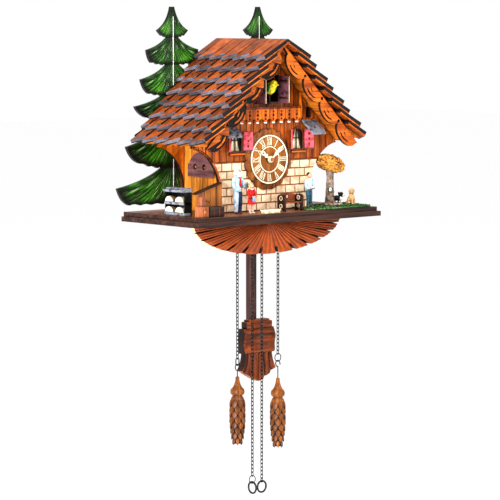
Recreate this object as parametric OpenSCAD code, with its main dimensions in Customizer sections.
// Chalet cuckoo clock with a carved pendulum, two pine-cone weights and link chains.
// X runs to the viewer's right, Y runs back to the wall, Z runs up.
// The origin is the hanging hole in the back panel, on the wall plane.

/* [Base] */
// Width of the lower base board
base_w = 300; // [280:1:340]
// Depth of the base, from the wall to its front edge
base_d = 147; // [140:1:160]
// Thickness of the lower base board
base_lower_t = 6; // [4:0.5:8]
// Thickness of the upper base board
base_upper_t = 5.5; // [4:0.5:8]
// Height of the hanging hole above the underside of the base
hook_z = 176; // [165:1:185]

/* [House] */
// Half the width of the house at the base
house_x = 74; // [70:1:78]
// Distance from the wall to the front of the facade
facade_y = 99.5; // [96:0.5:104]
// Distance from the wall to the front of the inner board
inner_y = 30; // [26:1:34]
// Thickness of the plywood boards
ply_t = 4; // [3:0.5:5]
// Height of the top of the brickwork above the underside of the base
brick_top = 73; // [65:1:80]
// Length of one brick with its joint
brick_pitch = 16; // [12:0.5:20]
// Height of one brick course with its joint
brick_rise = 10.2; // [8:0.1:14]
// Width of one facade plank with its gap
plank_pitch = 11; // [9:0.5:14]

/* [Roof] */
// Distance from the wall to the front of the shingles
roof_front = 138.5; // [136:0.5:142]
// Number of shingle courses on each side
courses = 8; // [8:1:8]
// Step from one course to the next, both across and down
course_step = 14.2; // [14:0.1:14.4]
// Tilt of the shingles from level
shingle_tilt = 29; // [28:0.5:30]
// Width of one shingle, along the ridge
shingle_w = 22; // [18:0.5:26]
// Length that the back corner of each shingle hangs below its front corner
shingle_slant = 11; // [0:0.5:14]

/* [Dial and hands] */
// Height of the dial centre above the underside of the base
dial_z = 74.8; // [72:0.1:77]
// Radius of the chapter ring
chapter_r = 30.2; // [28:0.1:32]
// Length of the minute hand from its centre
minute_len = 26; // [22:0.5:28]
// Length of the hour hand from its centre
hour_len = 20; // [16:0.5:22]

/* [Pendulum and chains] */
// Height of the pendulum pivot above the underside of the base
pivot_z = 98; // [94:1:100]
// Width of the pendulum rod
rod_w = 10; // [8:0.5:12]
// Length of one chain link between its contact points
link_pitch = 4.66; // [4.5:0.01:5]
// Diameter of the chain wire
wire_d = 1; // [0.8:0.1:1.2]
// Distance from the wall to the chains
chain_y = 94.5; // [93:0.5:95]
// Largest radius of a pine-cone weight
cone_r = 10; // [8:0.5:11]
// Length of the left pine-cone weight
cone_len_left = 83; // [76:1:90]
// Length of the right pine-cone weight
cone_len_right = 86; // [76:1:90]

/* [Trees and figures] */
// Distance of each fir tree's axis from the middle
fir_x = 71; // [68:1:74]
// Height of a fir tree's top above the underside of the base
fir_top = 263; // [255:1:270]
// Height of the old man
man_h = 56; // [45:1:58]
// Height of the girl
girl_h = 38; // [30:1:42]
// Height of the boy
boy_h = 43; // [35:1:46]

/* [Hidden] */
$fn = 48;
deck = base_lower_t + base_upper_t;
gap = 0.1;                             // clearance between pieces glued face to face
cut = 1;                               // how far a cutter runs past its work
board_y = -(facade_y - 3);             // front face of the front board, behind its cladding
sin_t = sin(shingle_tilt);
cos_t = cos(shingle_tilt);
shingle_t = course_step * (cos_t - sin_t);
first_butt = [43.2, 199.3];            // lower front corner of the first course, x and height
slit = 0.8;                            // half the slit between two shingles
shingle_len = 44;                      // hidden and shown length of a course, down the slope
ridge_z = first_butt[1] + first_butt[0] * sin_t / cos_t;
roof_sum = first_butt[0] + first_butt[1] - shingle_len * (cos_t - sin_t) - shingle_t * (sin_t + cos_t);
roof_t = 5;
roof_under = roof_sum - roof_t * sqrt(2);
roof_eave = 120;                       // outer edge of the roof boards, short of the lowest butts
barge_y = 131;                         // distance from the wall to the front of the bargeboards
wing_c = [125, 36];                    // centre of the elliptical cut below each wing
wing_r = [51, 56];
window_x = 50.5;
window_z = 86;
window_w = 17;
window_h = 17;
bird_gap = [40, 143, 178];             // width, sill height and head height of the bird opening
leaf_t = 1.8;                          // thickness of a bird door leaf
leaf_w = 18.9;                         // width of a leaf from its hinge to its free edge
leaf_hinge = [19, -facade_y - 1];      // hinge of the right leaf, across and forward
bird_travel = 32;
shaft_d = 3;
pipe_d = 5;
bushing_d = 8.4;
run = 0.05;                            // radial running clearance
pivot_y = -73;
pin_d = 2;
rod_t = 4;
bob_y = [-88.5, -75];                  // front and back of the bob
chain_x = [-44, -19.5, -3.8, 23];
chain_links = [35, 67, 69, 35];         // links in each chain, from the left
eye_z = -5;
eye_r = 1.7;
head_links = 8;                        // links above each chain's pivot, behind the skirt
first_link_z = eye_z - eye_r + gap / 2 - link_pitch / 2;
link_w = 2.2;
door = [84, 84, 26];                   // width, height and lower edge of the rear door opening
door_pin_at = [39.2, -1.9];           // axis of the rear door's pins
wall_top = 134.5;                      // upper edge of the side walls
switch_x = -44;                        // middle of the sound switch's slot

// ---------------------------------------------------------------- shared shapes

module in_frame() translate([0, 0, -hook_z]) children();

// Stands a drawing of x and height up as a board, from y0 back by t.
module upright(y0, t) translate([0, y0 + t, 0]) rotate([90, 0, 0]) linear_extrude(t) children();

// Stands a drawing of y and height up as a board across x, from x0 to the right by t.
module sideways(x0, t) translate([x0, 0, 0]) rotate([90, 0, 90]) linear_extrude(t) children();

// A box from its lowest to its highest corner.
module block(low, high) translate(low) cube(high - low);

// A round bar along y, from y0 back by length.
module bar_y(x, y0, z, d, length)
    translate([x, y0 + length, z]) rotate([90, 0, 0]) cylinder(d = d, h = length);

module both_sides() {
    children();
    mirror([1, 0, 0]) children();
}

function ellipse_arc(c, r, from, to, n) =
    [for (i = [0:n]) let (a = from + (to - from) * i / n) [c[0] + r[0] * cos(a), c[1] + r[1] * sin(a)]];

function curve(a, b, c, n) =
    [for (i = [0:n - 1]) let (t = i / n) (1 - t) * (1 - t) * a + 2 * t * (1 - t) * b + t * t * c];

function mirrored(pts) = [for (i = [len(pts) - 1:-1:0]) [-pts[i][0], pts[i][1]]];

// ---------------------------------------------------------------- base

module base_slot() block([-14, -80, -cut], [14, -66, deck + cut]);

module base_lower() color("#3b2a26") in_frame() difference() {
    block([-base_w / 2, -base_d, 0], [base_w / 2, 0, base_lower_t]);
    base_slot();
}

module base_upper() color("#47302a") in_frame() difference() {
    block([-base_w / 2 + 3.5, -base_d + 3.5, base_lower_t], [base_w / 2 - 3.5, 0, deck]);
    base_slot();
}

skirt_r = [121, 42];
skirt_y = -104.5;
skirt_t = 7;

module skirt() color("#a8481a") in_frame()
    upright(skirt_y, skirt_t)
        polygon(ellipse_arc([0, 0], skirt_r, 180, 360, 60));

// ---------------------------------------------------------------- house boards

wing_arc = ellipse_arc(wing_c, wing_r, 180, 98, 20);
wing_edge = concat([[house_x, deck]], wing_arc, [[wing_c[0] - 6, roof_under - wing_c[0] + 6 - gap]]);

// Gable board with wings that flare out below the eaves.
module wing_board_2d()
    polygon(concat([[0, roof_under - gap]], mirrored(wing_edge), wing_edge));

module bird_opening_2d() translate([-bird_gap[0] / 2, bird_gap[1]])
    square([bird_gap[0], bird_gap[2] - bird_gap[1]]);

module window_opening_2d(grow)
    both_sides() translate([window_x, window_z]) {
        translate([-window_w / 2 - grow, -grow]) square([window_w + 2 * grow, window_h + grow]);
        translate([0, window_h]) circle(d = window_w + 2 * grow);
    }

module niche_2d() both_sides() translate([69, 124]) {
    translate([-4, 0]) square([8, 13]);
    translate([0, 13]) circle(d = 8);
}

module facade_openings_2d() {
    bird_opening_2d();
    niche_2d();
    translate([0, dial_z]) circle(d = bushing_d + 2 * gap);
}

module front_board() color("#c4631f") in_frame()
    upright(board_y, ply_t) difference() {
        wing_board_2d();
        facade_openings_2d();
        window_opening_2d(0);
    }

module inner_board() color("#c4631f") in_frame()
    upright(-inner_y, ply_t) difference() {
        wing_board_2d();
        translate([-46, 22]) square([92, 96]);
    }

// The two grooved walls of the house and, behind the inner board, two plain cheeks.
module side_walls() color("#cf7427") in_frame() {
    both_sides() difference() {
        block([house_x - ply_t, board_y + ply_t + gap, deck], [house_x, -inner_y - gap, wall_top]);
        for (z = [61:7:75], y = [-68, -60, -52])
            translate([house_x - ply_t - cut, y, z]) rotate([0, 90, 0]) cylinder(d = 3, h = ply_t + 2 * cut);
        for (y = [-84:10:-40])
            block([house_x - 0.5, y, deck - cut], [house_x + cut, y + 0.7, wall_top + cut]);
    }
    both_sides() block([50, -inner_y + ply_t + gap, deck], [50 + ply_t, -ply_t - gap, 150]);
}

module sound_plate() color("#6f4652") in_frame()
    sideways(-house_x - 2.1, 2) difference() {
        union() {
            translate([-87, 54]) square([49, 22]);
            translate([-62.5, 60]) intersection() {
                circle(r = 24.5);
                translate([-24.5, 0]) square([49, 25]);
            }
        }
        for (y = [-69, -52]) translate([y, 66.5]) circle(d = 6);
    }

module back_outline_2d() {
    x = house_x + 4;
    top = roof_under - gap;
    polygon([[-x, deck], [x, deck], [x, top - x], [0, top], [-x, top - x]]);
}

module back_panel() color("#8a5a33") in_frame()
    difference() {
        upright(-ply_t, ply_t) difference() {
            back_outline_2d();
            translate([-door[0] / 2, door[2]]) square([door[0], door[1]]);
        }
        bar_y(0, -ply_t - cut, hook_z, 8, ply_t + 2 * cut);
        for (i = [-2:2]) bar_y(i * 9, -ply_t - cut, 140, 4, ply_t + 2 * cut);
        door_pin(pin_d + 2 * run, 0.2);
    }

// The rear door's pivot pins, one above and one below the leaf.
module door_pin(d, extra)
    translate([door_pin_at[0], door_pin_at[1], door[2] - 3 - extra])
        cylinder(d = d, h = door[1] + 6 + 2 * extra);

module rear_door() color("#7d5230") in_frame()
    difference() {
        union() {
            upright(-3.4, 3) translate([-door[0] / 2 + 0.6, door[2] + 0.6])
                square([door[0] - 1.2, door[1] - 1.2]);
            door_pin(pin_d, 0);
        }
        for (x = [-24:8:24], z = [90, 98]) bar_y(x, -5, z, 3.4, 6);
        bar_y(-32, -5, door[2] + door[1] / 2, 12, 6);
    }

// ---------------------------------------------------------------- roof

// Where the top of a roof board meets the underside of the first course.
peak_x = (roof_sum - ridge_z + shingle_t / cos_t) / (1 - sin_t / cos_t);
peak_z = roof_sum - peak_x;

module roof_board_2d()
    polygon([[gap, roof_under - gap], [gap, peak_z - gap], [peak_x, peak_z - gap],
        [roof_eave, roof_sum - roof_eave - gap],
        [roof_eave - roof_t / sqrt(2), roof_under - roof_eave + roof_t / sqrt(2)]]);

// Wedge between the lowest course and the edge of the roof board, tapering out behind the butts.
module eaves_wedge_2d() {
    butt = first_butt + (courses - 1) * course_step * [1, -1] - shingle_t * [sin_t, cos_t];
    tip = butt - 8 * [cos_t, -sin_t];
    back = butt - (shingle_len - 2) * [cos_t, -sin_t];
    polygon([tip, tip - [0, 0.8], [roof_eave, roof_sum - roof_eave + gap],
        [back[0], roof_sum - back[0] + gap]]);
}

module roof_boards() color("#b5651f") in_frame()
    both_sides() {
        upright(-barge_y + ply_t + gap, barge_y - ply_t - 5) roof_board_2d();
        upright(-barge_y + ply_t + gap, barge_y - ply_t - 5) eaves_wedge_2d();
    }

// Flat pattern of one course: down the slope in x, back from the verge in y, its butts near x = 0.
module course_2d(length, first)
    intersection() {
        translate([-length, 0]) square([length, roof_front - ply_t - gap]);
        for (y = [first:shingle_w:roof_front]) polygon([
            [-shingle_slant, y + slit], [0, y + shingle_w - slit], [-20, y + shingle_w - slit],
            [-20, y + shingle_w], [-length, y + shingle_w], [-length, y], [-20, y], [-20, y + slit]
        ]);
    }

// One course on the right-hand slope. Every other course starts with half a shingle at the verge.
module course(index) {
    butt = first_butt + index * course_step * [1, -1];
    length = index == 0 ? first_butt[0] / cos_t + shingle_t * sin_t / cos_t : shingle_len;
    translate([butt[0], -roof_front, butt[1]]) rotate([0, shingle_tilt, 0])
        translate([0, 0, -shingle_t + gap / 2]) linear_extrude(shingle_t - gap)
            course_2d(length, index % 2 == 0 ? -shingle_w / 2 : 0);
}

module shingles_right() color("#c8672a") in_frame()
    intersection() {
        for (i = [0:courses - 1]) course(i);
        translate([gap, -roof_front, 0]) cube([200, roof_front, 300]);
    }

module shingles_left() mirror([1, 0, 0]) shingles_right();

barge_holes = [35.5, 63.3, 91.1];
barge_mid = 211.5;
barge_sum = roof_sum - 1.2;

// Scalloped boards along the slopes, with a hole where two lobes meet.
module bargeboards() color("#d9731c") in_frame()
    both_sides() upright(-barge_y, ply_t) difference() {
        intersection() {
            union() {
                polygon([[gap, barge_sum], [gap, 206], [118, 92], [124, barge_sum - 124]]);
                for (x = [20.5, 49.4, 77.2, 106])
                    translate([x, barge_mid - x - 1]) rotate(-45) scale([1, 0.62]) circle(r = 19.5);
            }
            polygon([[gap, barge_sum], [124, barge_sum - 124], [124, 40], [gap, 40]]);
        }
        for (x = barge_holes) translate([x, barge_mid - x]) circle(d = 3);
    }

// ---------------------------------------------------------------- fir trees

// Each tier: where its upper edge starts, its tip, and the heel below the tip.
fir_tiers = [
    [[5, 252], [24, 233], [17, 226]],
    [[14, 225], [41, 209], [34, 193]],
    [[20, 190], [50.5, 173], [38, 155]],
    [[27, 153], [60.5, 140], [43, 126]],
    [[32, 122], [74, 91], [52, 69.5]],
    [[38, 67], [88.5, 40.5], [70, 19]]
];

function tier_edge(t) = concat(
    curve(t[0], [t[0][0] + 3, t[1][1] + 5], t[1], 6),
    curve(t[1], [t[1][0] - 1, (t[1][1] + t[2][1]) / 2 - 2], t[2] + [2, 3], 4),
    [t[2] + [2, 3], t[2]]
);

fir_side = [for (t = fir_tiers) each tier_edge(t)];

module fir_trees() color("#3f7a1c") in_frame()
    both_sides() upright(-ply_t, ply_t) difference() {
        translate([fir_x, 0])
            polygon(concat([[3, fir_top]], fir_side, [[36, 18.5], [-36, 18.5]], mirrored(fir_side),
                [[-3, fir_top]]));
        offset(delta = 0.3) back_outline_2d();
        translate([-house_x, -60]) square([2 * house_x + 8.6, 140]);
    }

// ---------------------------------------------------------------- facade

module above_bricks_2d() translate([-150, brick_top + 1]) square([300, 200]);

module facade_planks() color("#cc6a20") in_frame()
    upright(-facade_y, 3 - gap) difference() {
        intersection() {
            offset(delta = -1) wing_board_2d();
            above_bricks_2d();
            for (i = [-12:12])
                translate([i * plank_pitch + 0.4, 0]) square([plank_pitch - 0.8, 260]);
        }
        facade_openings_2d();
        window_opening_2d(2.2);
    }

module brick_panel() color("#a2502a") in_frame()
    upright(-facade_y + 1, 2 - gap) difference() {
        intersection() {
            offset(delta = -1) wing_board_2d();
            translate([-150, deck + 0.1]) square([300, brick_top - deck]);
        }
        translate([0, dial_z]) circle(d = bushing_d + 2 * gap);
    }

module bricks() color("#efd9ae") in_frame()
    upright(-facade_y, 1 - gap / 2) difference() {
        intersection() {
            offset(delta = -1.6) wing_board_2d();
            translate([-150, deck + 0.4]) square([300, brick_top - deck - 1.4]);
            for (row = [0:5], i = [-7:7])
                translate([(i + (row % 2) / 2) * brick_pitch, deck + 0.6 + row * brick_rise])
                    square([brick_pitch - 2, brick_rise - 1.7]);
        }
        translate([0, dial_z]) circle(d = 50);
    }

module window_frames() color("#a8441c") in_frame() {
    upright(-facade_y - 1, 4 - gap) difference() {
        window_opening_2d(2);
        window_opening_2d(0);
    }
    both_sides() block([window_x - 12.5, -facade_y - 3.5, window_z - 4.5],
        [window_x + 12.5, -facade_y - 1.1, window_z - 2.1]);
}

module window_panes() color("#e9dfc4") in_frame()
    upright(board_y + 0.4, 1.5) window_opening_2d(-0.2);

// A pierced shutter leaf, hinged at x = 0 and reaching to the right.
module shutter_leaf()
    upright(-0.75, 1.5) difference() {
        translate([0.4, 0]) square([11.6, 24]);
        for (z = [6, 18]) translate([6.2, z]) rotate(45) square(3, center = true);
        translate([6.2, 12]) circle(d = 2.6);
    }

module shutters() color("#d9647c") in_frame()
    for (side = [-1, 1]) {
        translate([side * window_x + window_w / 2 + 2.2, -facade_y - 1.2, window_z + 0.5])
            rotate(-45) shutter_leaf();
        translate([side * window_x - window_w / 2 - 2.2, -facade_y - 1.2, window_z + 0.5])
            rotate(-130) shutter_leaf();
    }

awning_x = [58, 81];

module window_awnings() color("#7d7f86") in_frame()
    both_sides() sideways(awning_x[0], awning_x[1] - awning_x[0])
        polygon([[-facade_y - gap, 119], [-facade_y - gap, 122], [-121, 106], [-120, 103.6]]);

balcony_x = 52;
balcony_y = -105;
slats = 8;

module balcony_floor() color("#8e4a1e") in_frame()
    block([-balcony_x, balcony_y + 2.1, 130], [balcony_x, -facade_y - gap, 132.5]);

// Top rail with pierced, pointed slats, and a curved cheek at each end.
module balcony_rail() color("#c2561a") in_frame() {
    pitch = 2 * balcony_x / slats;
    upright(balcony_y, 2) difference() {
        union() {
            translate([-balcony_x, 136.5]) square([2 * balcony_x, 2.8]);
            for (i = [0:slats - 1]) translate([-balcony_x + (i + 0.5) * pitch, 0])
                polygon([[-pitch / 2 + 0.5, 137], [-pitch / 2 + 0.5, 123.5], [-2.2, 119.5],
                    [2.2, 119.5], [pitch / 2 - 0.5, 123.5], [pitch / 2 - 0.5, 137]]);
        }
        for (i = [0:slats - 1]) translate([-balcony_x + (i + 0.5) * pitch, 0]) {
            translate([0, 133.4]) rotate(45) square(2, center = true);
            translate([0, 129]) rotate(45) square(3, center = true);
            translate([0, 124.8]) circle(d = 1.8);
        }
    }
    both_sides() sideways(balcony_x + gap, 2)
        polygon(concat([[-facade_y - gap, 119], [-facade_y - gap, 157]],
            curve([-104, 157], [-104, 142], [balcony_y, 139], 6), [[balcony_y, 139], [balcony_y, 126]]));
}

// ---------------------------------------------------------------- dial and hands

dial_y = -facade_y - gap;
dial_t = 4;
ring_y = dial_y - dial_t - 1.1;
hour_y = ring_y - 2.2;
minute_y = hour_y - 2;

module dial_body() color("#7a4a22") in_frame()
    upright(dial_y - dial_t, dial_t) translate([0, dial_z]) difference() {
        union() {
            circle(r = 34.5);
            for (i = [0:15]) rotate(i * 22.5) translate([33.6, 0]) circle(r = 4.4);
        }
        circle(d = bushing_d + 2 * gap);
    }

// Strokes of each numeral: angle of the stroke's foot and head about the hour, in degrees.
numerals = [
    [[0, 0]], [[-3, -3], [3, 3]], [[-6, -6], [0, 0], [6, 6]], [[-8, -8], [1, -2], [1, 6]],
    [[0, -5], [0, 5]], [[-2, -7], [-2, 3], [8, 8]], [[-4, -9], [-4, 1], [6, 6], [11, 11]],
    [[-7, -12], [-7, -2], [2, 2], [7, 7], [12, 12]], [[-8, -8], [-2, 7], [7, -2]],
    [[-4, 4], [4, -4]], [[-7, 2], [2, -7], [8, 8]], [[-10, -2], [-2, -10], [4, 4], [9, 9]]
];

function polar(r, a) = [r * sin(a), r * cos(a)];

module stroke(r0, a0, r1, a1, w) {
    foot = polar(r0, a0);
    head = polar(r1, a1);
    dir = (head - foot) / norm(head - foot);
    side = w / 2 * [dir[1], -dir[0]];
    polygon([foot - side, foot + side, head + side, head - side]);
}

module chapter_ring() color("#f3eddc") in_frame()
    upright(ring_y, 1) translate([0, dial_z]) {
        difference() {
            circle(r = chapter_r);
            circle(r = chapter_r - 2.6);
        }
        difference() {
            circle(r = 16.6);
            circle(r = 14.6);
        }
        for (h = [0:11], s = numerals[h])
            stroke(16, (h + 1) * 30 + s[0], chapter_r - 2.2, (h + 1) * 30 + s[1], 1.2);
    }

module hand_2d(length, hub_r, bulge) {
    circle(r = hub_r);
    polygon([[-0.9, 0], [-0.8, length * 0.5], [-bulge, length * 0.62], [-bulge * 0.5, length * 0.82],
        [0, length], [bulge * 0.5, length * 0.82], [bulge, length * 0.62], [0.8, length * 0.5], [0.9, 0]]);
    translate([0, length * 0.36]) circle(r = bulge * 0.9);
}

hour_angle = 304;
minute_angle = 48;

// The hour hand with its pipe, which turns in the movement's bushing.
module hour_hand() color("#f6efdc") in_frame() difference() {
    union() {
        upright(hour_y, 1) translate([0, dial_z]) rotate(-hour_angle) hand_2d(hour_len, 4.2, 3.2);
        bar_y(0, hour_y, dial_z, pipe_d, 12);
    }
    bar_y(0, hour_y - cut, dial_z, shaft_d + 2 * run, 12 + 2 * cut);
}

// The minute hand with its shaft and cap nut.
module minute_hand() color("#f6efdc") in_frame() {
    upright(minute_y, 1) translate([0, dial_z]) rotate(-minute_angle) hand_2d(minute_len, 3.4, 3);
    bar_y(0, minute_y, dial_z, shaft_d, 15);
    bar_y(0, minute_y - 1.4, dial_z, 4.6, 1.4);
}

movement_y = board_y + ply_t + gap;

// Battery movement: case, threaded bushing through the dial, and the pendulum pivot pin.
module movement() color("#26262a") in_frame() difference() {
    union() {
        block([-28, movement_y, dial_z - 28], [28, movement_y + 13, dial_z + 28]);
        bar_y(0, ring_y - 0.4, dial_z, bushing_d, movement_y - ring_y + 1.4);
        bar_y(0, movement_y + 12, pivot_z, pin_d, 12.6);
    }
    bar_y(0, ring_y - cut, dial_z, pipe_d + 2 * run, 24);
    block([-25, movement_y + 4.6, dial_z - 25], [25, movement_y + 13 + cut, dial_z - 9]);
}

// ---------------------------------------------------------------- yard in front of the house

// A little hut wall of planks with a single-pitch roof.
module lean_to() color("#c9843a") in_frame() {
    for (i = [0:3]) translate([-133 + i * 9.2, 0, 0])
        upright(-127, 3)
            polygon([[0, deck + gap], [8.6, deck + gap], [8.6, 42 + i * 2.7], [0, 39.6 + i * 2.7]]);
    upright(-133, 20) polygon([[-141, 38.2], [-96, 51.5], [-96, 54.5], [-141, 41.2]]);
}

// A post with a round boss, a spout and a log trough.
module fountain() color("#8c5a4a") in_frame() {
    block([-142, -140, deck + gap], [-128, -130, 25]);
    bar_y(-135, -141.5, 18.5, 5, 1.4);
    block([-137, -138, 25 + gap], [-131, -132, 37]);
    translate([-132, -135, 33]) rotate([0, 110, 0]) cylinder(d = 2.4, h = 10);
    difference() {
        block([-126, -139, deck + gap], [-103, -129, 24]);
        block([-124, -137, 15], [-105, -131, 24 + cut]);
    }
}

// A roofed stack of split logs, their ends towards the left.
module wood_stack() color("#55504e") in_frame() {
    block([-139, -108, deck + gap], [-119, -66, 15.5]);
    block([-139, -108, 28], [-119, -66, 31.5]);
    block([-119, -108, deck + gap], [-116, -66, 44]);
    sideways(-141, 25) polygon([[-109, 43.6 + gap], [-65, 43.6 + gap], [-65, 46], [-109, 50]]);
    block([-119, -66 + gap, deck + gap], [-116, -64, 43.6]);
    for (row = [0, 1], i = [0, 1]) {
        translate([-140, -97 + i * 20, 15.6 + row * 16]) rotate([0, 90, 0])
            difference() {
                cylinder(r = 8, h = 20.8);
                translate([0, -10, -cut]) cube([10, 20, 30]);
            }
    }
}

// A plain standing figure: legs, coat, arms and head.
module figure(h, w) {
    both_sides() translate([w * 0.22, 0, 0]) cylinder(r1 = w * 0.17, r2 = w * 0.2, h = h * 0.48);
    translate([0, 0, h * 0.46]) cylinder(r1 = w * 0.36, r2 = w * 0.4, h = h * 0.36);
    both_sides() translate([w * 0.4, 0, h * 0.5]) cylinder(r = w * 0.13, h = h * 0.3);
    translate([0, 0, h * 0.8]) cylinder(r = w * 0.14, h = h * 0.08);
    translate([0, 0, h * 0.905]) sphere(r = h * 0.095);
}

man_at = [-61, -115];
girl_at = [-48, -125];
boy_at = [61, -110];

module old_man() color("#b9cfe0") in_frame() translate([man_at[0], man_at[1], deck + gap]) figure(man_h, 17);

module girl() color("#c8262c") in_frame() translate([girl_at[0], girl_at[1], deck + gap]) figure(girl_h, 12);

module boy() color("#8fb2c4") in_frame() translate([boy_at[0], boy_at[1], deck + 2.2]) figure(boy_h, 14);

module bench() color("#e8dcc6") in_frame()
    block([-43, -141.5, deck + gap], [-14, -135.5, 16.5]);

// Two pierced side cheeks with a seat board and a back board between them.
module garden_table() color("#4d2a1c") in_frame() {
    for (x = [4, 33])
        sideways(x, 2.6) difference() {
            translate([-128, deck + gap]) square([14, 20]);
            for (z = [17, 26]) translate([-121, z]) circle(d = 4.5);
        }
    block([6.6 + gap, -128, 21], [33 - gap, -114, 23]);
    block([6.6 + gap, -115.5, 24], [33 - gap, -114, 33]);
}

oak_at = [106, -100];

module oak_trunk() color("#8a8378") in_frame() translate([oak_at[0], oak_at[1], 0]) {
    translate([0, 0, 14.2]) cylinder(r1 = 6.5, r2 = 4.2, h = 8);
    translate([0, 0, 22.2]) cylinder(r1 = 4.2, r2 = 4, h = 30);
}

module oak_foliage() color("#b98a2c") in_frame() translate([oak_at[0], oak_at[1], 52.3]) {
    for (i = [0:5]) rotate(i * 60) translate([12, 0, 9]) sphere(r = 8.8);
    translate([0, 0, 14]) sphere(r = 12);
    cylinder(r = 8, h = 10);
}

// Turf beside the house, cut back around its corner, with a mound under the oak.
module meadow() color("#5f8a52") in_frame() {
    difference() {
        hull() {
            for (p = [[36, -136], [138, -136], [140, -84], [74, -90]])
                translate([p[0], p[1], deck + gap]) cylinder(r = 4.5, h = 1.9);
        }
        block([0, -facade_y - 0.5, 0], [house_x + 0.6, 0, 2 * deck]);
    }
    translate([oak_at[0], oak_at[1], deck + 2]) cylinder(r1 = 22, r2 = 8, h = 0.7 * gap + 0.5);
}

module dogs() color("#c9a878") in_frame() {
    translate([131, -113, deck + 2.1]) {
        cylinder(r1 = 6, r2 = 4, h = 12);
        translate([-1, -1, 15.5]) sphere(r = 4.4);
    }
    translate([129, -88, deck + 2.1]) {
        translate([-7, -3.2, 3]) cube([14, 6.4, 6.5]);
        for (x = [-6, 4.2], y = [-3, 1]) translate([x, y, 0]) cube([2, 2, 3.2]);
        translate([8, 0, 10.5]) sphere(r = 3.7);
    }
}

// ---------------------------------------------------------------- inside the house

// Sound box, with a slot for its switch in the rear face.
module sound_unit() color("#1f2023") in_frame() difference() {
    block([-64, -86, deck + gap], [-34, -36, 46]);
    block([switch_x - 5.2, -39, 36], [switch_x + 5.2, -36 + cut, 40]);
}

module sound_switch() color("#c9c9c4") in_frame()
    block([switch_x + 0.6, -38.5, 36.2], [switch_x + 4.9, -33.5, 39.8]);

module loudspeaker() color("#2b2c30") in_frame()
    translate([-house_x + ply_t + gap, -60, 67]) rotate([0, 90, 0]) {
        cylinder(d = 38, h = 2.5);
        translate([0, 0, 2.5]) cylinder(d1 = 36, d2 = 20, h = 9);
    }

// Three round cells that power the movement and the sound box.
module cells() color("#b8a24a") in_frame() {
    for (x = [44, 60]) translate([x, -60, deck + gap]) cylinder(d = 14.2, h = 50);
    translate([-22, movement_y + 10.6, dial_z - 17]) rotate([0, 90, 0]) cylinder(d = 9.8, h = 44);
}

shelf_z = 138;

module bird_shelf() color("#a9713f") in_frame() {
    block([-house_x + ply_t + 1, board_y + ply_t + gap, shelf_z - 3 - gap],
        [house_x - ply_t - 1, -inner_y - gap, shelf_z - gap]);
    for (side = [-1, 1])
        block([side * 9 - 1.5, -90, shelf_z], [side * 9 + 1.5, -inner_y - 2, shelf_z + 3]);
}

module bird_carriage() color("#6b4a30") in_frame() {
    block([-7.2, -114, shelf_z + 5.2], [7.2, -68, shelf_z + 7.6]);
    block([-7.2, -88, shelf_z + 0.05], [7.2, -68, shelf_z + 5.2]);
    translate([0, -104, shelf_z + 7.6]) cylinder(d = 3, h = 8.75);
}

module bird() color("#e6cf2a") in_frame() translate([0, -105, 162]) {
    sphere(r = 7.6);
    translate([0, -7.5, 5]) sphere(r = 5);
    translate([0, -12, 5]) rotate([90, 0, 0]) cylinder(r1 = 1.6, r2 = 0.4, h = 5);
    translate([0, 5, 0]) rotate([-70, 0, 0]) cylinder(r1 = 5, r2 = 2.5, h = 13);
}

module bird_leaf() in_frame()
    translate([leaf_hinge[0], leaf_hinge[1], 0]) {
        block([-leaf_t / 2, -leaf_w, bird_gap[1] + 1], [leaf_t / 2, 0, bird_gap[2] - 1]);
        translate([0, 0, bird_gap[1] + 1]) cylinder(d = leaf_t, h = bird_gap[2] - bird_gap[1] - 2);
    }

module bird_door_right() color("#5a4638") bird_leaf();

module bird_door_left() color("#5a4638") mirror([1, 0, 0]) bird_leaf();

// ---------------------------------------------------------------- pendulum

module pendulum_rod() color("#4a332a") in_frame()
    difference() {
        upright(pivot_y - rod_t / 2, rod_t) {
            translate([-rod_w / 2, -150]) square([rod_w, pivot_z + 150]);
            translate([0, pivot_z]) circle(d = rod_w);
        }
        bar_y(0, pivot_y - rod_t, pivot_z, pin_d + 2 * run, 2 * rod_t);
    }

// Carved bob: a small block, a wide block and a pleated leaf below.
module pendulum_bob() color("#b2521f") in_frame() {
    upright(bob_y[0] + 2, bob_y[1] - bob_y[0] - 2.1)
        polygon([[-21, -125], [21, -125], [21, -136], [-21, -136]]);
    upright(bob_y[0], bob_y[1] - bob_y[0] - 0.1)
        polygon([[-25.5, -136], [25.5, -136], [25.5, -167], [-25.5, -167]]);
    upright(bob_y[0] + 1.5, bob_y[1] - bob_y[0] - 1.6)
        polygon([[-21, -167], [21, -167], [22.5, -178], [28, -188], [14, -196], [0, -203], [-14, -196],
            [-28, -188], [-22.5, -178]]);
}

// ---------------------------------------------------------------- chains and weights

// One oblong link, standing in the plane of x and height.
module link(length, width, wire) {
    straight = (length - width) / 2;
    for (side = [-1, 1]) {
        translate([side * (width + wire) / 2, 0, -straight]) cylinder(d = wire, h = 2 * straight);
        translate([0, 0, side * straight]) rotate([90, side < 0 ? 180 : 0, 0])
            rotate_extrude(angle = 180, $fn = 32)
                translate([(width + wire) / 2, 0]) circle(d = wire, $fn = 24);
    }
}

// Links first to last of a chain, each turned a quarter against the one before.
module strand(first, last)
    for (i = [first:last])
        translate([0, 0, first_link_z - i * link_pitch]) rotate(i % 2 == 0 ? 90 : 0)
            link(link_pitch + gap / 2, link_w, wire_d);

// A round ring in the plane of x and height.
module ring(outer, wire)
    rotate([90, 0, 0]) rotate_extrude() translate([(outer - wire) / 2, 0]) circle(d = wire, $fn = 24);

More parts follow.
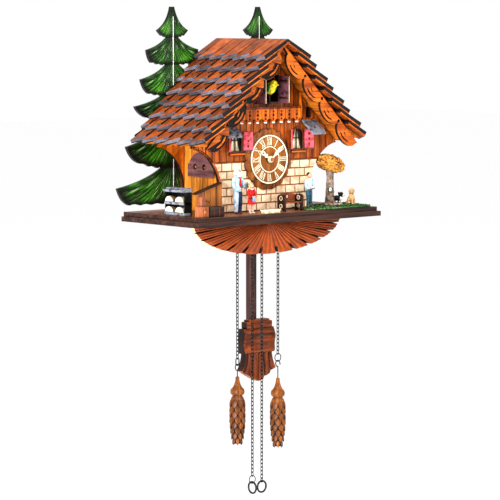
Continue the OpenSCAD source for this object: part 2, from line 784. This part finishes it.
// The four screw eyes under the base, each with the links that stay behind the skirt.
module chain_heads() color("#8d8f94") in_frame()
    for (x = chain_x) translate([x, -chain_y, 0]) {
        strand(0, head_links - 1);
        translate([0, 0, -1]) cylinder(d = 5.4, h = 1);
        translate([0, 0, eye_z + eye_r]) cylinder(d = wire_d, h = -eye_z - eye_r - 0.5);
        translate([0, 0, eye_z]) ring(2 * (eye_r + wire_d), wire_d);
    }

// Height of the inner top of whatever hangs in a loop whose own inner top and opening are given.
function hang_below(top, opening) = top - opening + gap / 2;

strand_foot = [for (n = chain_links) hang_below(first_link_z + link_pitch / 2 - (n - 1) * link_pitch,
    link_pitch + gap / 2)];
thin_wire = 1.1;
thin_ring = 11;
oval = [7.6, 3.6, 1.4];                // opening, width and wire of the left weight's oval ring
grip_ring = 16.5;
grip_wire = 2.4;
ring_foot = [
    hang_below(strand_foot[0], oval[0]), hang_below(strand_foot[1], thin_ring - 2 * thin_wire),
    strand_foot[2], hang_below(strand_foot[3], thin_ring - 2 * thin_wire)
];
hook_d = 9.4;
hook_wire = 1.3;
hook_stem = [8, 14.7];                 // straight length below each hook, left and right
cone_top = [for (i = [0, 1]) ring_foot[3 * i] - hook_d + 2 * hook_wire - hook_stem[i]];

module hung_ring(top, outer, wire) translate([0, 0, top - outer / 2 + wire]) ring(outer, wire);

module at_chain(i) in_frame() translate([chain_x[i], -chain_y, 0]) children();

module weight_chain_left() color("#9a9ca1") at_chain(0) {
    strand(head_links, chain_links[0] - 1);
    translate([0, 0, strand_foot[0] - oval[0] / 2]) link(oval[0], oval[1], oval[2]);
}

module weight_chain_right() color("#9a9ca1") at_chain(3) {
    strand(head_links, chain_links[3] - 1);
    hung_ring(strand_foot[3], thin_ring, thin_wire);
}

module pull_chain_left() color("#9a9ca1") at_chain(1) {
    strand(head_links, chain_links[1] - 1);
    hung_ring(strand_foot[1], thin_ring, thin_wire);
    rotate(90) hung_ring(ring_foot[1], grip_ring, grip_wire);
}

module pull_chain_right() color("#9a9ca1") at_chain(2) {
    strand(head_links, chain_links[2] - 1);
    hung_ring(strand_foot[2], grip_ring, grip_wire);
}

// An open hook across the plane of its ring, with its stem down to the weight.
module weight_hook(i) color("#8d8f94") at_chain(3 * i) {
    translate([0, 0, ring_foot[3 * i] - hook_d / 2 + hook_wire]) rotate([90, 0, 90])
        rotate([0, 0, -90]) rotate_extrude(angle = 285) translate([(hook_d - hook_wire) / 2, 0])
            circle(d = hook_wire, $fn = 24);
    translate([0, 0, cone_top[i]]) cylinder(d = hook_wire, h = hook_stem[i] + hook_wire / 2);
}

module weight_hook_left() weight_hook(0);

module weight_hook_right() weight_hook(1);

// Half outline of a pine cone, as radius and depth in parts of its size.
cone_outline = [[0, 0], [0.22, 0], [0.3, 0.08], [0.5, 0.14], [0.8, 0.19], [0.88, 0.23], [0.8, 0.27],
    [0.62, 0.29], [0.66, 0.31], [0.9, 0.38], [1, 0.5], [1, 0.62], [0.9, 0.78], [0.72, 0.9], [0.5, 0.96],
    [0.42, 1], [0, 1]];

module weight(i, length) color("#a8551c") at_chain(3 * i) translate([0, 0, cone_top[i]])
    rotate_extrude() polygon([for (p = cone_outline) [p[0] * cone_r, -p[1] * length]]);

module weight_left() weight(0, cone_len_left);

module weight_right() weight(1, cone_len_right);

base_lower();
base_upper();
skirt();
front_board();
inner_board();
side_walls();
back_panel();
roof_boards();
shingles_left();
shingles_right();
bargeboards();
fir_trees();
sound_plate();
brick_panel();
bricks();
facade_planks();
window_frames();
window_panes();
shutters();
balcony_floor();
balcony_rail();
window_awnings();
dial_body();
chapter_ring();
hour_hand();
minute_hand();
movement();
lean_to();
fountain();
wood_stack();
old_man();
girl();
boy();
bench();
garden_table();
oak_trunk();
oak_foliage();
meadow();
dogs();
sound_unit();
loudspeaker();
sound_switch();
cells();
bird_shelf();
bird_carriage();
bird();
bird_door_left();
bird_door_right();
pendulum_rod();
pendulum_bob();
chain_heads();
weight_chain_left();
weight_chain_right();
pull_chain_left();
pull_chain_right();
weight_hook_left();
weight_hook_right();
weight_left();
weight_right();
rear_door();
